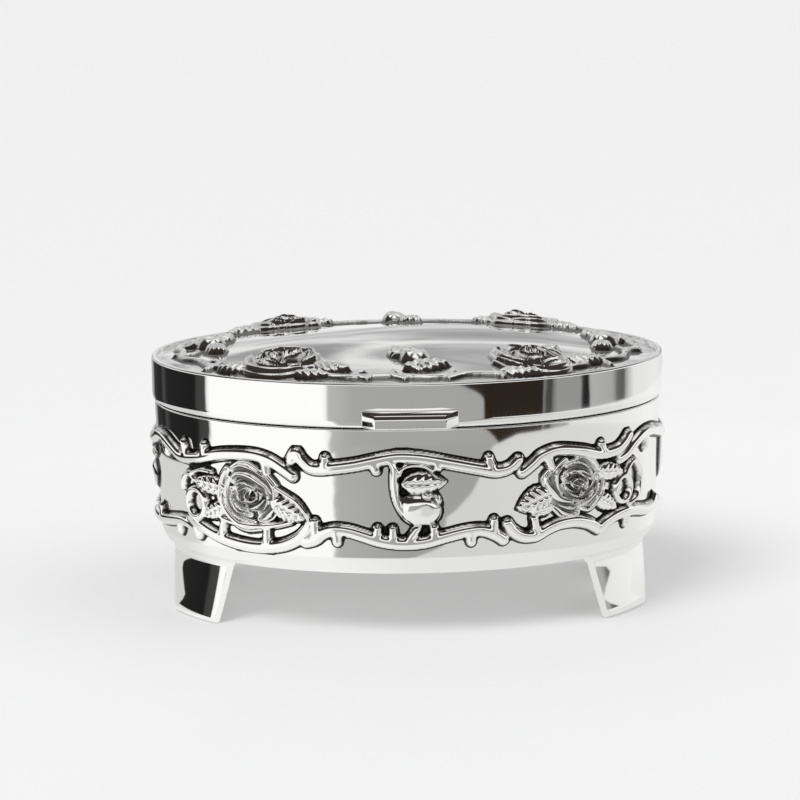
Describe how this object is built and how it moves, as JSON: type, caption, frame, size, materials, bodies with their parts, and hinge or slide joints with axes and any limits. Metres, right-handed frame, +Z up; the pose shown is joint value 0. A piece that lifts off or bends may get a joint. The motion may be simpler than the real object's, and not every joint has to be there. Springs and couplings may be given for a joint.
{
  "type": "trinket_box",
  "caption": "Oval silver-plated trinket box on bracket feet, with a hinged domed lid, relief of roses and vines, and a velvet lining.",
  "frame": {"origin": "on the floor under the middle of the oval", "axes": "+Z up, -Y to the front with the thumb tab, +X to the right seen from the front"},
  "size_m": [0.115, 0.0904, 0.0607],
  "materials": {
    "silver_plate": "mirror-polished silver plate",
    "pin_steel": "drawn steel",
    "lining_velvet": "short-pile velvet"
  },
  "bodies": {
    "box": {"body_shell": "silver_plate", "front_ornament": "silver_plate", "rear_ornament": "silver_plate", "foot_front_left": "silver_plate", "foot_front_right": "silver_plate", "foot_rear_left": "silver_plate", "foot_rear_right": "silver_plate", "hinge_body_leaf": "silver_plate", "hinge_pin": "pin_steel", "wall_lining": "lining_velvet", "floor_pad": "lining_velvet"},
    "lid": {"lid_shell": "silver_plate", "lid_garland": "silver_plate", "thumb_tab": "silver_plate", "hinge_lid_leaf": "silver_plate", "lid_lining": "lining_velvet"}
  },
  "joints": [
    {"name": "lid_hinge", "type": "hinge", "parent": "box", "child": "lid", "pos_m": [0, 0.04375, 0.0466], "axis": [-1, 0, 0], "range_deg": [0, 100]}
  ]
}
